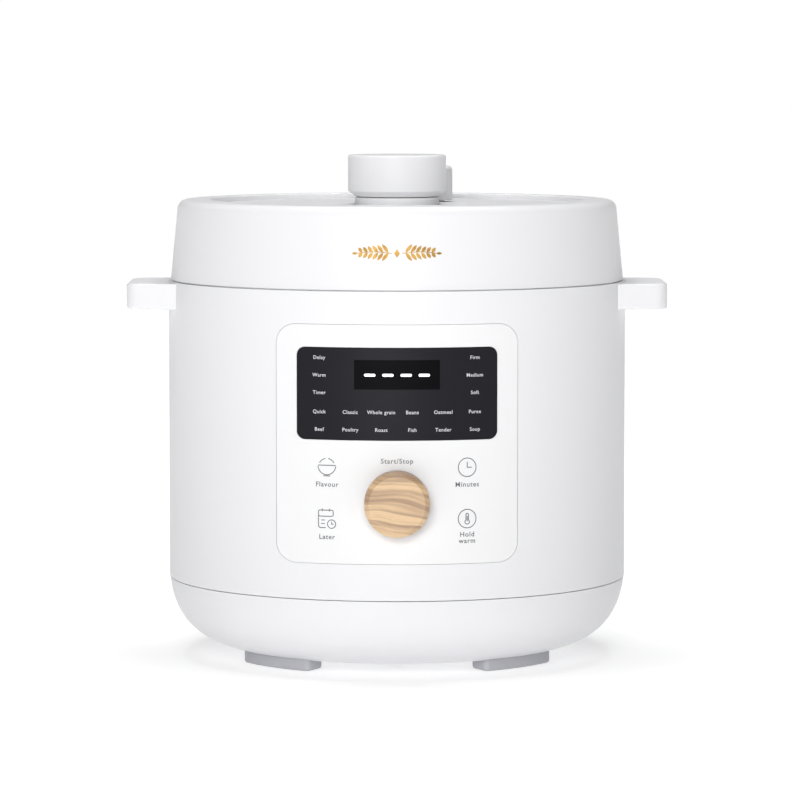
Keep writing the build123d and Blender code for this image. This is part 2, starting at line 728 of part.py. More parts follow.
def make_inner_lid():
    lip_outer = pot_rim_radius + 2.5
    sheet, low, top = 1.5, lid_rim_z, inner_lid_top
    step = pot_inner - 5.5
    lid = turned((5 + running, top - sheet), (step - 3, top - sheet), (step - 1, low),
                 (lip_outer - sheet, low), (lip_outer - sheet, low - 5.0),
                 (lip_outer, low - 5.0), (lip_outer, low + sheet),
                 (step, low + sheet), (step - 2, top), (5 + running, top))
    lid -= disc(4.5, low - 5, top + 5, *valve_place)
    return lid - disc(2.5 + running, low - 5, top + 5, *float_place)


def make_sealing_ring():
    inner, outer = pot_inner - 3.4, pot_rim_radius + 0.6
    low, high = seal_low, lid_rim_z
    return turned((inner, high), (inner - 1.5, low + 2.5), (inner + 2, low + 3.8), (inner + 5, low + 3.8),
                  (inner + 7, low), (outer, low), (outer, high))


def make_steam_pipe():
    x, y = valve_place
    pipe = disc(4.5, lid_rim_z - 4, recess_z + 6.2, x, y)
    pipe += disc(8.0, lid_rim_z - 2.0, inner_lid_top - 1.5, x, y)
    return pipe - disc(1.5, lid_rim_z - 6, recess_z + 8, x, y)


def make_steam_shield():
    x, y = valve_place
    low, high = lid_rim_z - 10.0, lid_rim_z - 2.0
    shield = disc(10.0, low, high, x, y)
    shield = fillet(edges_at(shield, 0), 2.0)
    shield -= disc(8.8, low + 1.2, high - 1.2, x, y) + disc(4.5, low + 1.2, high + 1, x, y)
    for angle in around(8):
        dx, dy = at_angle(9.0, angle)
        shield -= disc(1.4, low - 1, low + 4, x + dx * 0.6, y + dy * 0.6)
    return shield


def make_valve_weight():
    x, y = valve_place
    low, high = recess_z + 2.6, recess_z + 1.1 + valve_height - 2.3
    weight = disc(valve_radius - 1.8, low, high, x, y)
    return weight - disc(4.8, low - 1, recess_z + 6.2 + pot_gap, x, y)


def make_valve_cap():
    x, y = valve_place
    low = recess_z + 1.1
    cap = disc(valve_radius, low, low + valve_height, x, y)
    cap = fillet(edges_at(cap, -1), 3.0)
    return cap - disc(valve_radius - 1.8 + 0.1, low - 1, low + valve_height - 2.2, x, y)


float_foot = lid_rim_z - 6.0


def make_float_valve():
    x, y = float_place
    stem = disc(2.5, float_foot, frame_high + 14, x, y)
    stem += disc(4.5, float_foot - 1.5, float_foot, x, y)
    return stem + disc(3.8, inner_lid_top + 0.2, inner_lid_top + 1.8, x, y)


def make_float_indicator():
    x, y = float_place
    tip = disc(float_radius, frame_high + 14, recess_z - 0.9, x, y)
    return fillet(edges_at(tip, -1), 0.8)


# ---- lock, which turns with the knob ----------------------------------------------
def make_lock_ring():
    inner = pot_inner - 1.0
    shape = ring(inner, skirt_outer, lock_flange_low, lock_flange_high)
    shape += ring(skirt_inner, skirt_outer, tooth_low, lock_flange_high)
    for angle in around(teeth):
        shape += sector(lock_tip_radius, skirt_outer - 0.5, tooth_low, tooth_top, angle, lock_tooth_angle)
    return shape


spider_reach = skirt_inner - 14.0


def make_lock_spider():
    spider = disc(20.0, lock_flange_high, spider_high)
    arm = block(0, spider_reach, -9, 9, lock_flange_high, spider_high)
    for angle in around(3):
        spider += Rot(0, 0, angle) * arm
    return spider - disc(shaft_radius, lock_flange_high - 1, spider_high + 1)


def make_lock_shaft():
    shaft = disc(shaft_radius, lock_flange_high, knob_screw_z)
    shaft += disc(5.0, lid_rim_z - 3.6, lock_flange_high + 1)
    return shaft - disc(2.5, knob_screw_z - 14, knob_screw_z + 1)


def make_shaft_nut():
    nut = disc(9.0, lid_rim_z - 3.6, inner_lid_top - 2.2)
    nut = fillet(edges_at(nut, 0), 1.2)
    return nut - disc(5.0, lid_rim_z - 5, lid_rim_z + 5)


def make_knob_base():
    return turned((shaft_radius, knob_low), (knob_foot_radius, knob_low),
                  (knob_radius, knob_low + knob_chamfer), (knob_radius - 4, knob_low + knob_chamfer),
                  (knob_foot_radius - 2, knob_low + wall), (shaft_radius + 4, knob_low + wall),
                  (shaft_radius + 4, knob_screw_z), (shaft_radius, knob_screw_z))


def make_knob_cap():
    cap = disc(knob_radius, knob_low + knob_chamfer, knob_high)
    cap = fillet(edges_at(cap, -1), 1.6)
    return cap - disc(knob_radius - 2.4, knob_low + knob_chamfer - 1, knob_high - 2.4)


def make_knob_screw():
    screw = disc(shaft_radius + 3, knob_screw_z, knob_screw_z + 1.2)
    screw += disc(4.5, knob_screw_z + 1, knob_screw_z + 4)
    return screw + disc(2.5, knob_screw_z - 12, knob_screw_z + 1)


# ---- every piece, by the name of its file -----------------------------------------
pieces = {
    "housing": make_housing(),
    "bottom_cover": make_bottom_cover(),
    "handle_left": make_handle(-1),
    "handle_right": make_handle(1),
    "shell_screws": make_shell_screws(),
    "bottom_screws": make_bottom_screws(),
    "collar": make_collar(),
    "drain_spout": make_drain_spout(),
    "outer_liner": make_outer_liner(),
    "inner_pot": make_inner_pot(),
    "heating_plate": make_heating_plate(),
    "heating_element": make_heating_element(),
    "heater_posts": make_heater_posts(),
    "sensor_cap": make_sensor_cap(),
    "sensor_bracket": make_sensor_bracket(),
    "sensor_spring": make_sensor_spring(),
    "thermal_fuse": make_thermal_fuse(),
    "pressure_switch": make_pressure_switch(),
    "power_board": make_power_board(),
    "power_parts": make_power_parts(),
    "control_board": make_control_board(),
    "display_module": make_display_module(),
    "touch_springs": make_touch_springs(),
    "encoder_body": make_encoder_body(),
    "encoder_plunger": make_encoder_plunger(),
    "encoder_shaft": make_encoder_shaft(),
    "dial_hub": make_dial_hub(),
    "dial_cap": make_dial_cap(),
    "control_panel": make_control_panel(),
    "display_window": make_display_window(),
    "hinge_bracket": make_hinge_bracket(),
    "hinge_pin": make_hinge_pin(),
    "hinge_springs": make_hinge_springs(),
    "hinge_cover": make_hinge_cover(),
    "cup_bracket": make_cup_bracket(),
    "condensate_cup": make_condensate_cup(),
    "power_inlet": make_power_inlet(),
    "inlet_pins": make_inlet_pins(),
    "lid_cover": make_lid_cover(),
    "lid_top_plate": make_lid_top_plate(),
    "knob_pedestal": make_knob_pedestal(),
    "lid_frame": make_lid_frame(),
    "hinge_arm": make_hinge_arm(),
    "arm_cover": make_arm_cover(),
    "inner_lid": make_inner_lid(),
    "sealing_ring": make_sealing_ring(),
    "steam_pipe": make_steam_pipe(),
    "steam_shield": make_steam_shield(),
    "valve_weight": make_valve_weight(),
    "valve_cap": make_valve_cap(),
    "float_valve": make_float_valve(),
    "float_indicator": make_float_indicator(),
    "lock_ring": make_lock_ring(),
    "lock_spider": make_lock_spider(),
    "lock_shaft": make_lock_shaft(),
    "knob_base": make_knob_base(),
    "knob_cap": make_knob_cap(),
    "knob_screw": make_knob_screw(),
    "shaft_nut": make_shaft_nut(),
}
pieces["feet"] = sum_parts(make_foot(angle) for angle in around(4, 45))

os.makedirs("parts", exist_ok=True)
for name, piece in pieces.items():
    export_step(piece, f"parts/{name}.step")
    print(f"{name}: {len(piece.solids())} solids, {piece.volume / 1000:.2f} cm3")
print(len(pieces), "nodes")
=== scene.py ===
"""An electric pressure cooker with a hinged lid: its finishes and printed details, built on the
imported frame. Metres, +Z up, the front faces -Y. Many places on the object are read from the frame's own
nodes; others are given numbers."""
import json
import math

import bpy
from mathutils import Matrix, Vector


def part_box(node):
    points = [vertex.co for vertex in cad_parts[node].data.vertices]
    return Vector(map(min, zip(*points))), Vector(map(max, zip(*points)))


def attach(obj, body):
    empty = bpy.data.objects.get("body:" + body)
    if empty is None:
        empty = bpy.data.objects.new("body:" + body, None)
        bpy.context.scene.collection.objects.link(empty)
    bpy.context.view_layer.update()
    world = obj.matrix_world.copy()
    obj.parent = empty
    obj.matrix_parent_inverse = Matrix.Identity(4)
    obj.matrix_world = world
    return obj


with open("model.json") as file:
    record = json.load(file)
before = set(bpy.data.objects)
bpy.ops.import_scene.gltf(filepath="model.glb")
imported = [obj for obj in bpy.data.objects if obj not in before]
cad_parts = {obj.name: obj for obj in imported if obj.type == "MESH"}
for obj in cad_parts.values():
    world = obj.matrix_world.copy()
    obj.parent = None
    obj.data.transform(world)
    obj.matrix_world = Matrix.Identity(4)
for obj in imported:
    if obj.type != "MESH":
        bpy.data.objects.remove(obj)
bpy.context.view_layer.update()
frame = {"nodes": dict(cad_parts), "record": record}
nodes = frame["nodes"]
MM = 0.001


# ---- places, read from the frame ---------------------------------------------------
def span(node, axis):
    """Lowest and highest of a node along an axis, 0 to 2."""
    low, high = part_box(node)
    return low[axis], high[axis]


def middle(node):
    low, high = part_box(node)
    return (low + high) / 2


body_radius = span("housing", 0)[1]
lid_low = span("lid_cover", 2)[0]
lid_radius = span("lid_cover", 0)[1]
lid_lean = 0.097            # how much the lid's side leans in per unit of height
window_high = span("display_window", 2)[1]
digits_low, digits_high = span("display_module", 2)
digits_half = span("display_module", 0)[1]
dial_mid = middle("dial_cap")


# ---- helpers for finishes ----------------------------------------------------------
def linear(hex_colour):
    """An sRGB hex colour as linear red, green, blue and alpha."""
    parts = [int(hex_colour[i:i + 2], 16) / 255 for i in (0, 2, 4)]
    return [c / 12.92 if c <= 0.04045 else ((c + 0.055) / 1.055) ** 2.4 for c in parts] + [1.0]


def add(tree, kind, settings=None, values=None, links=None):
    """Adds a node to a material, sets its properties and inputs, and links others' outputs into it."""
    node = tree.nodes.new("ShaderNode" + kind)
    for name, value in (settings or {}).items():
        setattr(node, name, value)
    for name, value in (values or {}).items():
        node.inputs[name].default_value = value
    for name, output in (links or {}).items():
        tree.links.new(output, node.inputs[name])
    return node


def new_finish(name, colour, roughness, **values):
    """A material with one principled shader.
    Gives the material, its tree, its shader and its object coordinates."""
    material = bpy.data.materials.new(name)
    material.use_nodes = True
    tree = material.node_tree
    shader = tree.nodes["Principled BSDF"]
    shader.inputs["Base Color"].default_value = linear(colour)
    shader.inputs["Roughness"].default_value = roughness
    for key, value in values.items():
        shader.inputs[key.replace("_", " ")].default_value = value
    place = add(tree, "TexCoord").outputs["Object"]
    return material, tree, shader, place


def skin(tree, shader, height, depth, sheen=None, low=0.0, high=1.0):
    """Raises the surface by depth metres where height is 1, and varies its roughness from low to high
    with sheen."""
    bump = add(tree, "Bump", values={"Distance": depth, "Strength": 1.0}, links={"Height": height})
    tree.links.new(bump.outputs["Normal"], shader.inputs["Normal"])
    if sheen is not None:
        uneven = add(tree, "MapRange", values={"To Min": low, "To Max": high}, links={"Value": sheen})
        tree.links.new(uneven.outputs["Result"], shader.inputs["Roughness"])


# ---- finishes ----------------------------------------------------------------------
def moulded_abs(name, colour, gloss):
    """ABS from a polished mould: white through and through, with a faint waviness in its sheen."""
    material, tree, shader, place = new_finish(name, colour, gloss, IOR=1.53, Specular_IOR_Level=0.2)
    flow = add(tree, "TexNoise", values={"Scale": 1 / (9 * MM)}, links={"Vector": place})
    grain = add(tree, "TexNoise", values={"Scale": 1 / (0.9 * MM), "Detail": 1.0}, links={"Vector": place})
    skin(tree, shader, grain.outputs["Fac"], 0.003 * MM, flow.outputs["Fac"], gloss - 0.04, gloss + 0.05)
    return material


def tinted_acrylic(name, colour, shine):
    """Dark tinted acrylic with a hard coat: deep, even and nearly black, with a soft narrow highlight."""
    material, tree, shader, place = new_finish(name, colour, 0.3, IOR=1.49, Specular_IOR_Level=shine)
    ripple = add(tree, "TexNoise", values={"Scale": 1 / (14 * MM)}, links={"Vector": place})
    haze = add(tree, "TexNoise", values={"Scale": 1 / (5 * MM)}, links={"Vector": place})
    skin(tree, shader, ripple.outputs["Fac"], 0.002 * MM, haze.outputs["Fac"], 0.26, 0.34)
    return material


def turned_beech():
    """Pale hardwood turned to a dial, sanded and clear lacquered: tan and brown bands run across the
    face, falling a little to the right, with fine darker pores along them."""
    material, tree, shader, place = new_finish("turned_beech", "C2A27D", 0.45, IOR=1.5,
                                               Coat_Weight=0.1, Coat_Roughness=0.4)
    slow = add(tree, "Mapping", values={"Scale": (26, 40, 30)}, links={"Vector": place}).outputs[0]
    sway = add(tree, "TexNoise", values={"Scale": 1.0, "Detail": 1.0}, links={"Vector": slow})
    rise = add(tree, "Math", {"operation": "MULTIPLY"}, {1: 12 * MM}, {0: sway.outputs["Fac"]})
    rise = add(tree, "CombineXYZ", links={"Z": rise.outputs[0]}).outputs[0]
    bent = add(tree, "VectorMath", {"operation": "ADD"}, links={0: place, 1: rise}).outputs[0]
    fall = (0, math.radians(-8), 0)
    slant = add(tree, "Mapping", values={"Rotation": fall}, links={"Vector": bent}).outputs[0]
    wide = add(tree, "Mapping", values={"Scale": (10, 10, 400)}, links={"Vector": slant}).outputs[0]
    bands = add(tree, "TexNoise", values={"Scale": 1.0, "Roughness": 0.5}, links={"Vector": wide})
    light = add(tree, "MapRange", values={"From Min": 0.38, "From Max": 0.60},
                links={"Value": bands.outputs["Fac"]})
    rings = add(tree, "Mix", {"data_type": "RGBA"}, {"A": linear("A08368"), "B": linear("D3B48D")},
                {"Factor": light.outputs["Result"]}).outputs["Result"]
    fine = add(tree, "Mapping", values={"Scale": (150, 150, 2400)}, links={"Vector": slant}).outputs[0]
    pores = add(tree, "TexNoise", values={"Scale": 1.0, "Detail": 1.0}, links={"Vector": fine})
    pores = pores.outputs["Fac"]
    dark = add(tree, "MapRange", values={"From Min": 0.55, "From Max": 0.75, "To Max": 0.35},
               links={"Value": pores}).outputs["Result"]
    wood = add(tree, "Mix", {"data_type": "RGBA"}, {"B": linear("8A6A4C")},
               {"Factor": dark, "A": rings})
    tree.links.new(wood.outputs["Result"], shader.inputs["Base Color"])
    skin(tree, shader, pores, 0.03 * MM, bands.outputs["Fac"], 0.42, 0.54)
    return material


def moulded_rubber():
    """Soft grey rubber: matt, with a dusty, slightly uneven surface."""
    material, tree, shader, place = new_finish("moulded_rubber", "A5A5AB", 0.7, IOR=1.52)
    dust = add(tree, "TexNoise", values={"Scale": 1 / (12 * MM), "Detail": 3.0}, links={"Vector": place})
    colour = add(tree, "Mix", {"data_type": "RGBA"}, {"A": linear("A0A0A6"), "B": linear("AAAAAF")},
                 {"Factor": dust.outputs["Fac"]})
    tree.links.new(colour.outputs["Result"], shader.inputs["Base Color"])
    grain = add(tree, "TexNoise", values={"Scale": 1 / (0.5 * MM)}, links={"Vector": place})
    skin(tree, shader, grain.outputs["Fac"], 0.006 * MM, dust.outputs["Fac"], 0.64, 0.76)
    return material


def silicone():
    """Cast silicone: milky and faintly translucent, with a soft satin skin."""
    material, tree, shader, place = new_finish("cast_silicone", "E6E5DF", 0.45, IOR=1.41,
                                               Subsurface_Weight=0.4, Subsurface_Scale=4 * MM)
    flow = add(tree, "TexNoise", values={"Scale": 1 / (2 * MM)}, links={"Vector": place})
    skin(tree, shader, flow.outputs["Fac"], 0.01 * MM, flow.outputs["Fac"], 0.38, 0.52)
    return material


def brushed_stainless(name, colour, gloss, lay):
    """Stainless sheet with a brushed lay: hairlines along one direction spread the highlight across it."""
    material, tree, shader, place = new_finish(name, colour, gloss, Metallic=1.0)
    along = add(tree, "Mapping", values={"Scale": lay}, links={"Vector": place}).outputs[0]
    hairs = add(tree, "TexNoise", values={"Scale": 1.0, "Detail": 3.0, "Roughness": 0.6},
                links={"Vector": along}).outputs["Fac"]
    skin(tree, shader, hairs, 0.004 * MM, hairs, gloss - 0.07, gloss + 0.12)
    return material


def turned_aluminium():
    """Cast aluminium faced on a lathe: fine rings round the middle catch the light as a fan."""
    material, tree, shader, place = new_finish("turned_aluminium", "C9C9CB", 0.34, Metallic=1.0)
    wave = add(tree, "TexWave", {"wave_type": "RINGS", "rings_direction": "Z", "wave_profile": "SAW"},
               {"Scale": 1 / (15 * MM), "Distortion": 0.3}, {"Vector": place})
    bloom = add(tree, "TexNoise", values={"Scale": 1 / (8 * MM)}, links={"Vector": place})
    skin(tree, shader, wave.outputs["Fac"], 0.02 * MM, bloom.outputs["Fac"], 0.28, 0.42)
    return material


def non_stick_coating():
    """Sprayed non-stick coating on a drawn pot: near-black, with pale mineral flecks under a satin skin."""
    material, tree, shader, place = new_finish("non_stick_coating", "222326", 0.38, IOR=1.45)
    flecks = add(tree, "TexVoronoi", {"feature": "F1"}, {"Scale": 1 / (2.2 * MM)}, {"Vector": place})
    spot = add(tree, "MapRange", values={"From Min": 0.16, "From Max": 0.10},
               links={"Value": flecks.outputs["Distance"]})
    mixed = add(tree, "Mix", {"data_type": "RGBA"}, {"A": linear("222326"), "B": linear("6B6C70")},
                {"Factor": spot.outputs["Result"]})
    tree.links.new(mixed.outputs["Result"], shader.inputs["Base Color"])
    spray = add(tree, "TexNoise", values={"Scale": 1 / (1.2 * MM)}, links={"Vector": place})
    bloom = add(tree, "TexNoise", values={"Scale": 1 / (12 * MM)}, links={"Vector": place})
    skin(tree, shader, spray.outputs["Fac"], 0.01 * MM, bloom.outputs["Fac"], 0.33, 0.44)
    return material


def plated_metal(name, colour):
    """Zinc or nickel plating: bright with a faint cloudy bloom."""
    material, tree, shader, place = new_finish(name, colour, 0.28, Metallic=1.0)
    bloom = add(tree, "TexNoise", values={"Scale": 1 / (2.5 * MM)}, links={"Vector": place})
    skin(tree, shader, bloom.outputs["Fac"], 0.004 * MM, bloom.outputs["Fac"], 0.2, 0.4)
    return material


def clear_polystyrene():
    """Clear moulded cup: water-white with a cool edge."""
    material, tree, shader, place = new_finish("clear_polystyrene", "EEF3F5", 0.08, IOR=1.49,
                                               Transmission_Weight=0.92)
    flow = add(tree, "TexNoise", values={"Scale": 1 / (7 * MM)}, links={"Vector": place})
    skin(tree, shader, flow.outputs["Fac"], 0.01 * MM, flow.outputs["Fac"], 0.06, 0.14)
    return material


def solder_mask():
    """Green lacquer over etched copper: tracks show as a slightly lighter raised net."""
    material, tree, shader, place = new_finish("solder_mask", "0F5A34", 0.35, IOR=1.5)
    lacquer = {"Scale": 1 / (9 * MM), "Mortar Size": 0.035, "Color1": linear("0F5A34"),
               "Color2": linear("11633A"), "Mortar": linear("2B8A57")}
    tracks = add(tree, "TexBrick", {"offset": 0.37}, lacquer, {"Vector": place})
    tree.links.new(tracks.outputs["Color"], shader.inputs["Base Color"])
    skin(tree, shader, tracks.outputs["Fac"], 0.03 * MM, tracks.outputs["Fac"], 0.32, 0.42)
    return material


def matt_plastic(name, colour):
    """Glass-filled plastic from a spark-eroded mould: an even, finely pitted matt surface."""
    material, tree, shader, place = new_finish(name, colour, 0.55, IOR=1.55)
    pits = add(tree, "TexNoise", values={"Scale": 1 / (0.6 * MM), "Detail": 1.0}, links={"Vector": place})
    flow = add(tree, "TexNoise", values={"Scale": 1 / (5 * MM)}, links={"Vector": place})
    skin(tree, shader, pits.outputs["Fac"], 0.02 * MM, flow.outputs["Fac"], 0.48, 0.62)
    return material


def printing_ink(name, colour):
    """Pad-printed ink: flat colour with a slightly uneven film."""
    material, tree, shader, place = new_finish(name, colour, 0.5, IOR=1.5)
    level = add(tree, "TexNoise", values={"Scale": 1 / (0.5 * MM)}, links={"Vector": place})
    skin(tree, shader, level.outputs["Fac"], 0.002 * MM, level.outputs["Fac"], 0.45, 0.58)
    return material


def gold_foil():
    """Hot-stamped gold foil: a warm metal film that takes on the grain of the plastic under it."""
    material, tree, shader, place = new_finish("gold_foil", "A67F35", 0.5, Metallic=0.6)
    patches = add(tree, "TexNoise", values={"Scale": 1 / (5 * MM)}, links={"Vector": place})
    shade = add(tree, "MapRange", values={"From Min": 0.38, "From Max": 0.62},
                links={"Value": patches.outputs["Fac"]})
    colour = add(tree, "Mix", {"data_type": "RGBA"}, {"A": linear("8F6A26"), "B": linear("B58E42")},
                 {"Factor": shade.outputs["Result"]})
    tree.links.new(colour.outputs["Result"], shader.inputs["Base Color"])
    grain = add(tree, "TexNoise", values={"Scale": 1 / (0.6 * MM)}, links={"Vector": place})
    skin(tree, shader, grain.outputs["Fac"], 0.004 * MM, patches.outputs["Fac"], 0.44, 0.56)
    return material


def lit_segment():
    """A lit LED segment behind its diffuser: white with a cool edge."""
    material, _, shader, _ = new_finish("lit_segment", "FFFFFF", 0.5)
    shader.inputs["Emission Color"].default_value = linear("F6F9FF")
    shader.inputs["Emission Strength"].default_value = 1.15
    return material


finishes = {
    "white_abs": moulded_abs("white_abs", "DEDEE0", 0.38),
    "white_bowl": moulded_abs("white_bowl", "DDDDE0", 0.38),
    "panel_white": moulded_abs("panel_white", "E1E1E2", 0.33),
    "valve_white": moulded_abs("valve_white", "DADADC", 0.4),
    "display_black": tinted_acrylic("tinted_acrylic", "18171D", 0.14),
    "beech": turned_beech(),
    "grey_rubber": moulded_rubber(),
    "silicone": silicone(),
    "stainless": brushed_stainless("brushed_stainless", "B9B9BB", 0.3, (30, 30, 1400)),
    "pot_aluminium": non_stick_coating(),
    "cast_aluminium": turned_aluminium(),
    "zinc_steel": plated_metal("zinc_plated_steel", "BDBDBF"),
    "element_steel": brushed_stainless("heater_sheath", "6E6A66", 0.45, (400, 400, 400)),
    "grey_plastic": matt_plastic("grey_nylon", "BFC0C4"),
    "clear_plastic": clear_polystyrene(),
    "black_plastic": matt_plastic("black_nylon", "1C1C1E"),
    "nickel": plated_metal("nickel_plated_brass", "C8C2B4"),
    "green_board": solder_mask(),
}
for part in frame["record"]["subparts"]:
    slots = nodes[part["node"]].data.materials
    slots.clear()
    slots.append(finishes[part["material_slot"]])


# ---- printed and lit details -------------------------------------------------------
def on_body(arc, z, lift):
    """A point on the round body from its distance along the front and its height."""
    angle = arc / body_radius
    radius = body_radius + lift
    return Vector((radius * math.sin(angle), -radius * math.cos(angle), z))


def on_lid(arc, z, lift):
    """A point on the leaning side of the lid."""
    radius = lid_radius - lid_lean * (z - lid_low) + lift
    angle = arc / radius
    return Vector((radius * math.sin(angle), -radius * math.cos(angle), z))


def piece(name, points, faces, finish, body):
    """Makes a mesh piece, gives it a finish and makes it ride on a body."""
    mesh = bpy.data.meshes.new(name)
    mesh.from_pydata([tuple(p) for p in points], [], faces)
    mesh.update()
    made = bpy.data.objects.new(name, mesh)
    bpy.context.scene.collection.objects.link(made)
    made.data.materials.append(finish)
    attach(made, body)
    return made


def film(outline_pairs, surface, lift, thickness):
    """A thin closed film on a surface. outline_pairs are its two matching edges, as (arc, z) points."""
    points, faces = [], []
    for left, right in outline_pairs:
        for height in (lift, lift - thickness):
            points += [surface(*left, height), surface(*right, height)]
    for i in range(len(outline_pairs) - 1):
        a, b = 4 * i, 4 * (i + 1)
        faces += [(a, a + 1, b + 1, b), (a + 2, b + 2, b + 3, a + 3),
                  (a, b, b + 2, a + 2), (a + 1, a + 3, b + 3, b + 1)]
    last = 4 * (len(outline_pairs) - 1)
    faces += [(0, 2, 3, 1), (last, last + 1, last + 3, last + 2)]
    return points, faces


def joined(parts):
    """Several (points, faces) as one."""
    points, faces = [], []
    for more_points, more_faces in parts:
        start = len(points)
        points += more_points
        faces += [tuple(start + i for i in face) for face in more_faces]
    return points, faces


def finely(path):
    """The same path with its long straight runs divided, so that it can bend with the surface."""
    fine = [path[0]]
    for start, end in zip(path, path[1:]):
        count = math.ceil((Vector(end) - Vector(start)).length / (2 * MM) + 1e-6)
        fine += [tuple(Vector(start).lerp(Vector(end), i / count)) for i in range(1, count + 1)]
    return fine


def stroke(path, width):
    """Edges of an even line along a path of (arc, z) points, closed when it ends where it starts."""
    path = finely(path)
    loop = (Vector(path[0]) - Vector(path[-1])).length < 1e-7
    pairs = []
    for i, point in enumerate(path):
        before = path[i - 1] if i else (path[-2] if loop else path[0])
        after = path[i + 1] if i + 1 < len(path) else (path[1] if loop else path[-1])
        into = (Vector(point) - Vector(before)).normalized() if before != point else Vector((0, 0))
        out = (Vector(after) - Vector(point)).normalized() if after != point else Vector((0, 0))
        along = (into + out).normalized()
        reach = width / 2 / max(0.5, along.dot(out if out.length else into))
        side = Vector((-along.y, along.x)) * reach
        pairs.append((tuple(Vector(point) + side), tuple(Vector(point) - side)))
    return pairs


def arc_path(x, z, radius, start, end, steps=32):
    """Points along a circular arc, its angles in degrees from the right, turning anticlockwise."""
    angles = [math.radians(start + (end - start) * i / steps) for i in range(steps + 1)]
    return [(x + radius * math.cos(a), z + radius * math.sin(a)) for a in angles]


def round_box(x0, x1, z0, z1, corner):
    """A closed path round a rectangle with round corners."""
    left, right, low, high = x0 + corner, x1 - corner, z0 + corner, z1 - corner
    corners = [(right, high, 0), (left, high, 90), (left, low, 180), (right, low, 270)]
    path = []
    for x, z, start in corners:
        path += arc_path(x, z, corner, start, start + 90, 6)
    return path + [path[0]]


ink_line = 0.52 * MM
ink_lift, ink_film = 0.06 * MM, 0.12 * MM
key_arc, key_high, key_low = 42.0 * MM, 127.4 * MM, 97.0 * MM
key_radius = 5.5 * MM


def bowl_icon(x, z):
    r = key_radius
    bowl = arc_path(x, z + 1.1 * MM, r, 184, 356)
    steam = arc_path(x, z + 0.2 * MM, r * 0.92, 28, 80) + arc_path(x, z + 0.2 * MM, r * 0.92, 100, 152)
    foot = [(x - 2.1 * MM, z - 5.1 * MM), (x + 2.1 * MM, z - 5.1 * MM)]
    brim = [(x - r, z + 1.2 * MM), (x + r, z + 1.2 * MM)]
    return [bowl, brim, foot, steam[:33], steam[33:]]


def clock_icon(x, z, radius=key_radius):
    hands = [(x, z + radius * 0.6), (x, z), (x + radius * 0.5, z)]
    return [arc_path(x, z, radius, 0, 360), hands]


def calendar_icon(x, z):
    left, right, top = x - 5.2 * MM, x + 3.9 * MM, z + 5.0 * MM
    band = round_box(left, right, top - 3.6 * MM, top, 0.9 * MM)
    foot = z - 5.4 * MM
    page = [(left, top - 3.4 * MM), (left, foot + 0.8 * MM), (left + 0.9 * MM, foot), (x - 0.6 * MM, foot)]
    pins = [[(x + dx * MM, top - 0.7 * MM), (x + dx * MM, top + 0.9 * MM)] for dx in (-2.9, 1.6)]
    lines = [[(left + 1.7 * MM, z + dz * MM), (x - 1.2 * MM, z + dz * MM)] for dz in (-0.9, -2.9)]
    return [band, page] + pins + lines + clock_icon(x + 2.9 * MM, z - 3.2 * MM, 2.5 * MM)


def thermometer_icon(x, z):
    bulb = arc_path(x, z - 1.9 * MM, 1.35 * MM, 125, 415)
    half, top = 0.75 * MM, z + 2.4 * MM
    tube = [bulb[-1], (x + half, top)] + arc_path(x, top, half, 0, 180, 8) + [bulb[0]]
    return [arc_path(x, z, key_radius, 0, 360), bulb, tube, [(x, z - 1.6 * MM), (x, z + 1.6 * MM)]]


def printed_icons():
    strokes = (bowl_icon(-key_arc, key_high) + clock_icon(key_arc, key_high)
               + calendar_icon(-key_arc, key_low) + thermometer_icon(key_arc, key_low))
    films = [film(stroke(path, ink_line), on_body, ink_lift, ink_film) for path in strokes]
    points, faces = joined(films)
    return piece("key_icons", points, faces, grey_ink, "cooker")


def words(text, size, spread):
    """One line of plain lettering as flat (points, faces), centred on the origin, in metres."""
    curve = bpy.data.curves.new("lettering", "FONT")
    curve.body, curve.size = text, size
    curve.align_x, curve.align_y = "CENTER", "CENTER"
    curve.space_character = spread
    curve.resolution_u = 3
    curve.offset = size * 0.012
    curve.extrude = ink_film / 2
    holder = bpy.data.objects.new("lettering", curve)
    bpy.context.scene.collection.objects.link(holder)
    mesh = bpy.data.meshes.new_from_object(holder.evaluated_get(bpy.context.evaluated_depsgraph_get()))
    points = [v.co.copy() for v in mesh.vertices]
    faces = [tuple(f.vertices) for f in mesh.polygons]
    bpy.data.objects.remove(holder)
    bpy.data.curves.remove(curve)
    bpy.data.meshes.remove(mesh)
    return points, faces


def printed_words(name, entries, size, spread, finish):
    """Lines of lettering bent round the body. Each entry is (text, arc, height)."""
    parts = []
    for text, arc, z in entries:
        points, faces = words(text, size, spread)
        parts.append(([on_body(arc + p.x, z + p.y, ink_lift - ink_film / 2 + p.z) for p in points], faces))
    points, faces = joined(parts)
    return piece(name, points, faces, finish, "cooker")


grey_ink = printing_ink("grey_ink", "5F5F64")
white_ink = printing_ink("white_ink", "C9C9CE")
led_black = tinted_acrylic("led_window", "060509", 0.05)

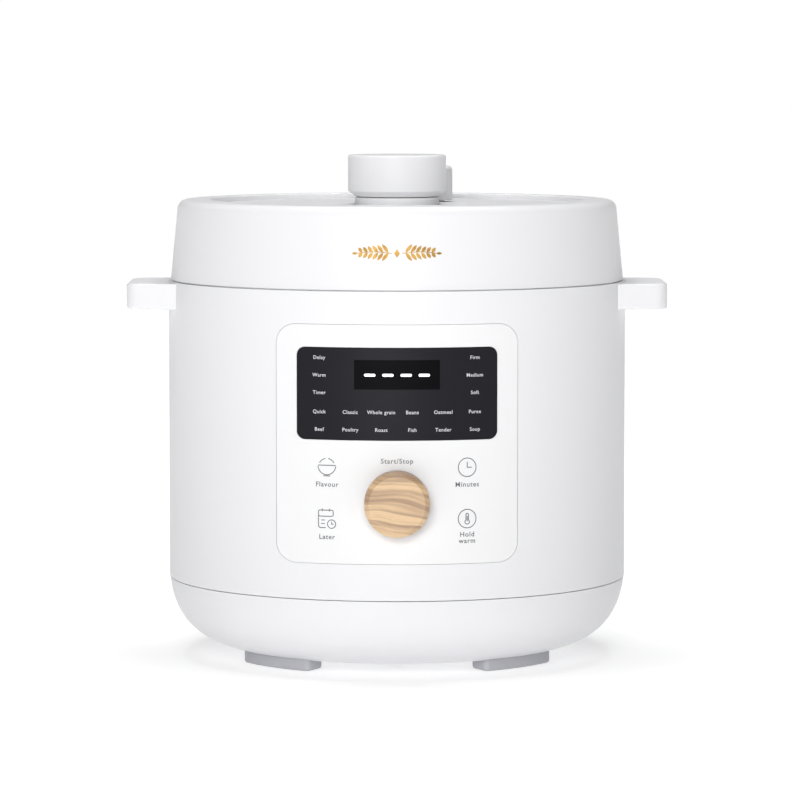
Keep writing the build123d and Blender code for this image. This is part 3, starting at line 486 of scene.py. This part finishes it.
menu_columns = [arc * MM for arc in (-46.7, -27.7, -9.3, 9.0, 27.4, 46.7)]
menu_rows = [window_high - drop * MM for drop in (6.1, 16.5, 26.8, 38.1, 48.5)]
menu = [("Delay", 0, 0), ("Warm", 0, 1), ("Timer", 0, 2), ("Firm", 5, 0), ("Medium", 5, 1), ("Soft", 5, 2)]
for row, texts in ((3, ("Quick", "Classic", "Whole grain", "Beans", "Oatmeal", "Puree")),
                   (4, ("Beef", "Poultry", "Roast", "Fish", "Tender", "Soup"))):
    menu += [(text, column, row) for column, text in enumerate(texts)]
printed_words("menu_words", [(text, menu_columns[c], menu_rows[r]) for text, c, r in menu],
              3.0 * MM, 1.1, white_ink)
key_words = [("Flavour", -key_arc, key_high - 10.2 * MM), ("Minutes", key_arc, key_high - 10.2 * MM),
             ("Later", -key_arc, key_low - 10.9 * MM), ("Hold", key_arc, key_low - 9.4 * MM),
             ("warm", key_arc, key_low - 13.2 * MM), ("Start/Stop", 0.0, dial_mid.z + 24.4 * MM)]
printed_words("key_words", key_words, 4.1 * MM, 1.14, grey_ink)
printed_icons()


def patch(half, low, high, surface, lift, thickness, steps=24):
    """A film over a rectangle of the front."""
    columns = [-half + 2 * half * i / steps for i in range(steps + 1)]
    return film([((c, high), (c, low)) for c in columns], surface, lift, thickness)


def lit_display():
    points, faces = patch(digits_half, digits_low, digits_high, on_body, 0.05 * MM, 0.1 * MM)
    piece("digit_window", points, faces, led_black, "cooker")
    pitch, half, tall = 10.7 * MM, 3.3 * MM, 0.8 * MM
    height = (digits_low + digits_high) / 2 - 0.2 * MM
    dashes = []
    for i in range(4):
        x = (i - 1.5) * pitch
        left = arc_path(x - half + tall, height, tall, 90, 180, 6)
        right = arc_path(x + half - tall, height, tall, 90, 0, 6)
        top = left[::-1] + right
        pairs = [((px, pz), (px, 2 * height - pz)) for px, pz in sorted(top)]
        dashes.append(film(pairs, on_body, 0.09 * MM, 0.06 * MM))
    points, faces = joined(dashes)
    piece("lit_dashes", points, faces, lit_segment(), "cooker")


lit_display()


def leaf(x, z, length, width, angle, steps=10):
    """A pointed leaf that starts at (x, z), as matching edges."""
    turn = math.radians(angle)
    along, across = Vector((math.cos(turn), math.sin(turn))), Vector((-math.sin(turn), math.cos(turn)))
    pairs = []
    for i in range(steps + 1):
        share = i / steps
        half = width / 2 * math.sin(math.pi * share) ** 0.8 + 0.01 * MM
        spot = Vector((x, z)) + along * length * share
        pairs.append((tuple(spot + across * half), tuple(spot - across * half)))
    return pairs


def gold_sprig():
    """A stamped ornament on the front of the lid: two mirrored sprigs that meet at a small lozenge."""
    z = lid_low + 21.8 * MM
    lift, thickness = 0.07 * MM, 0.14 * MM
    steps = 20
    films = []
    for side in (-1, 1):
        shares = [i / steps for i in range(steps + 1)]
        stem = [(side * (3.0 + 21.0 * t) * MM, z + 0.9 * MM * math.sin(math.pi * t)) for t in shares]
        films.append(film(stroke(stem, 0.45 * MM), on_lid, 0.06 * MM, 0.12 * MM))
        for i in range(6):
            x = side * (5.0 + 3.1 * i) * MM
            size = (1.0 - 0.085 * i)
            for up in (-1, 1):
                angle = (90 - side * 90) + side * up * 52
                blade = leaf(x, z + 0.5 * MM, 6.2 * MM * size, 2.0 * MM, angle)
                films.append(film(blade, on_lid, lift, thickness))
        tip = leaf(side * 23.2 * MM, z, 3.4 * MM, 1.5 * MM, 90 - side * 90)
        films.append(film(tip, on_lid, lift, thickness))
    lozenge = [((0.0, z + 2.6 * MM), (0.0, z + 2.59 * MM)), ((-1.6 * MM, z), (1.6 * MM, z)),
               ((0.0, z - 2.59 * MM), (0.0, z - 2.6 * MM))]
    films.append(film(lozenge, on_lid, lift, thickness))
    points, faces = joined(films)
    piece("gold_sprig", points, faces, gold_foil(), "lid")


gold_sprig()


# ---- stage, light and camera -------------------------------------------------------
def pale_floor(reach, near, far):
    """A round pale floor. It gives off a little light of its own, more of it away from the object, so
    that it stays evenly pale out to the horizon."""
    angles = [math.radians(a) for a in range(0, 360, 6)]
    corners = [(reach * math.cos(a), reach * math.sin(a), 0.0) for a in angles]
    mesh = bpy.data.meshes.new("studio_floor")
    mesh.from_pydata(corners, [], [tuple(range(len(corners)))])
    floor = bpy.data.objects.new("studio_floor", mesh)
    bpy.context.scene.collection.objects.link(floor)
    paper, tree, shader, place = new_finish("pale_paper", "CFCFCF", 0.9)
    away = add(tree, "VectorMath", {"operation": "LENGTH"}, links={0: place}).outputs["Value"]
    glow = add(tree, "MapRange", {"interpolation_type": "SMOOTHSTEP"},
               {"From Min": 0.15, "From Max": 1.6, "To Min": near, "To Max": far}, {"Value": away})
    shader.inputs["Emission Color"].default_value = linear("FFFFFF")
    tree.links.new(glow.outputs["Result"], shader.inputs["Emission Strength"])
    mesh.materials.append(paper)


def dim_room(horizon, overhead):
    """A white room that is bright along the horizon and dim overhead."""
    world = bpy.data.worlds.new("white_room")
    bpy.context.scene.world = world
    world.use_nodes = True
    tree = world.node_tree
    place = add(tree, "TexCoord").outputs["Generated"]
    height = add(tree, "SeparateXYZ", links={"Vector": place}).outputs["Z"]
    fade = {"From Min": 0.05, "From Max": 0.14, "To Min": horizon, "To Max": overhead}
    glow = add(tree, "MapRange", {"interpolation_type": "SMOOTHSTEP"}, fade, {"Value": height})
    tree.links.new(glow.outputs["Result"], tree.nodes["Background"].inputs["Strength"])
    tree.nodes["Background"].inputs["Color"].default_value = linear("FFFFFF")


def softbox(name, place, aim, width, height, power):
    """An area light at a place, facing a point."""
    data = bpy.data.lights.new(name, "AREA")
    data.shape = "RECTANGLE"
    data.size, data.size_y, data.energy = width, height, power
    light = bpy.data.objects.new(name, data)
    light.location = place
    light.rotation_euler = (Vector(aim) - Vector(place)).to_track_quat("-Z", "Y").to_euler()
    bpy.context.scene.collection.objects.link(light)


pale_floor(30.0, 0.5, 1.0)
dim_room(1.02, 0.02)
softbox("front_key", (-0.35, -3.2, 1.1), (0.0, 0.0, 0.16), 1.6, 1.2, 72)
softbox("top_fill", (0.0, 0.2, 2.0), (0.0, 0.0, 0.2), 1.2, 1.2, 34)

camera_data = bpy.data.cameras.new("camera")
camera_data.lens, camera_data.sensor_width = 193.7, 36.0
camera_tilt = 4.592          # degrees below the horizon
camera = bpy.data.objects.new("camera", camera_data)
camera.location = (-0.0006, -2.660, 0.370)
camera.rotation_euler = (math.radians(90 - camera_tilt), 0, 0)
bpy.context.scene.collection.objects.link(camera)
bpy.context.scene.camera = camera
bpy.context.scene.view_settings.view_transform = "Standard"
